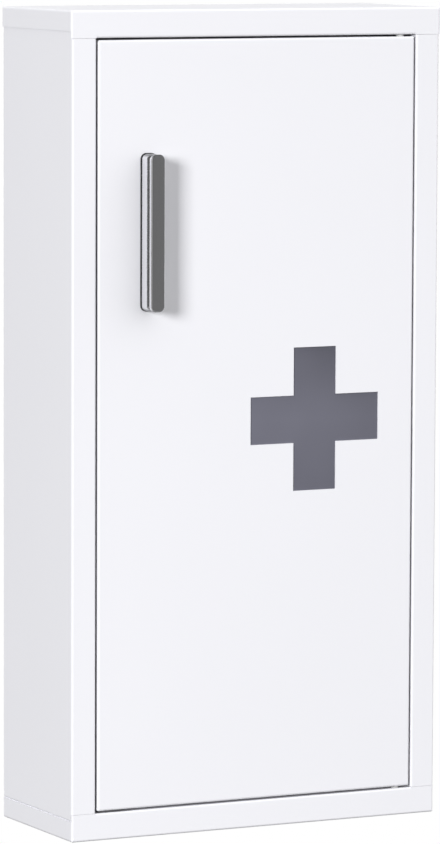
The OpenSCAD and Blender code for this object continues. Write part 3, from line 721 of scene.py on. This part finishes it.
def makeStuds(name, sizes, standsFor, body):
    bm = bmesh.new()
    radius, length = sizes["shank"] / 2, sizes["length"]
    outline = [(0, 0), (radius, 0), (radius, studShape["plain"])]
    outline += threadOutline(radius, sizes["pitch"], studShape["threadFrom"],
                             length - studShape["point"] * radius)
    outline += [(radius * studShape["tip"], length), (0, length)]
    spinOutline(bm, outline, studShape["segments"])
    putAt(bm, sizes["places"], sizes["towards"])
    finishPiece(name, bm, standsFor, body)


handleBar = {
    "width": 0.0110,
    "length": 0.1132,
    "middle": (-0.0892, -0.1212, 0.1404),
    "cornerRadius": 0.0040,
    # distance from the foot, and how far the side lies in from the widest outline there
    "side": [(0.0061, 0), (0.0070, 0.00006), (0.0078, 0.00042), (0.0086, 0.00082), (0.0097, 0.00156),
             (0.0132, 0), (0.0151, 0), (0.01549, 0.00006), (0.01584, 0.00024), (0.01612, 0.00053),
             (0.01626, 0.00086), (0.0163, 0.0012), (0.0163, 0.0015)],
}


def makeHandleBar():
    # a flat outline with round corners is drawn out from the foot, hollowed along its side
    # and rounded in front
    bm = bmesh.new()
    bmesh.ops.create_grid(bm, x_segments=1, y_segments=1, size=0.5)
    bmesh.ops.rotate(bm, cent=(0, 0, 0), matrix=Matrix.Rotation(math.pi / 2, 3, "X"), verts=bm.verts)
    bmesh.ops.scale(bm, vec=(handleBar["width"], 1, handleBar["length"]), verts=bm.verts)
    bmesh.ops.bevel(bm, geom=list(bm.verts), offset=handleBar["cornerRadius"], offset_type="OFFSET",
                    segments=10, profile=0.5, affect="VERTICES", material=-1, clamp_overlap=True)
    front = list(bm.faces)
    lastDepth, lastWidth, lastLength = 0, handleBar["width"], handleBar["length"]
    for depth, inset in handleBar["side"]:
        width, length = handleBar["width"] - 2 * inset, handleBar["length"] - 2 * inset
        grown = bmesh.ops.extrude_face_region(bm, geom=front)["geom"]
        if lastDepth:
            bmesh.ops.delete(bm, geom=front, context="FACES_ONLY")  # no wall stays inside the bar
        front = [part for part in grown if isinstance(part, bmesh.types.BMFace)]
        rim = vertsOf(grown)
        bmesh.ops.scale(bm, vec=(width / lastWidth, 1, length / lastLength), verts=rim)
        bmesh.ops.translate(bm, vec=(0, lastDepth - depth, 0), verts=rim)
        lastDepth, lastWidth, lastLength = depth, width, length
    bmesh.ops.translate(bm, vec=handleBar["middle"], verts=bm.verts)
    finishPiece("handleBar", bm, "door_handle", "door", smoothDegrees=28)


makeHandleBar()

handleScrews = {"shank": 0.004, "length": 0.0107, "head": 0.008, "headHeight": 0.0024, "pitch": 0.0007,
                "places": [(-0.0889, -0.1184, 0.0924), (-0.0889, -0.1184, 0.1884)], "towards": (0, 1, 0)}
makeScrews("handleScrews", handleScrews, "handle_screws", "door")
catchScrews = {"shank": 0.003, "length": 0.0062, "head": 0.006, "headHeight": 0.0018, "pitch": 0.0005,
               "places": [(-0.1126, -0.0867, 0.0245), (-0.1126, -0.0867, -0.0245)], "towards": (0, -1, 0)}
makeScrews("catchScrews", catchScrews, "catch_screws", "cabinet")
camScrew = {"shank": 0.004, "length": 0.008, "head": 0.010, "headHeight": 0.0024, "pitch": 0.0007,
            "places": [(-0.100, -0.088, -0.2669)], "towards": (0, 0, 1)}
makeScrews("camScrew", camScrew, "lock_cam_screw", "lock_cylinder")

windowMiddle, fixingReach = 0.0473, 0.06835
windowFixings = [(windowMiddle - fixingReach, 0), (windowMiddle + fixingReach, 0),
                 (windowMiddle, fixingReach), (windowMiddle, -fixingReach)]
clipNuts = {"across": 0.007, "bore": 0.0041, "height": 0.0032,
            "places": [(x, -0.1184, z) for x, z in windowFixings], "towards": (0, 1, 0)}
makeNuts("clipNuts", clipNuts, "clip_nuts", "door")
clipStuds = {"shank": 0.004, "length": 0.006, "pitch": 0.0007,
             "places": [(x, -0.1192, z) for x, z in windowFixings], "towards": (0, 1, 0)}
makeStuds("clipStuds", clipStuds, "clip_studs", "door")
lockNut = {"across": 0.022, "bore": 0.0182, "height": 0.004,
           "places": [(-0.100, -0.088, -0.2992)], "towards": (0, 0, 1)}
makeNuts("lockNut", lockNut, "lock_nut", "cabinet")
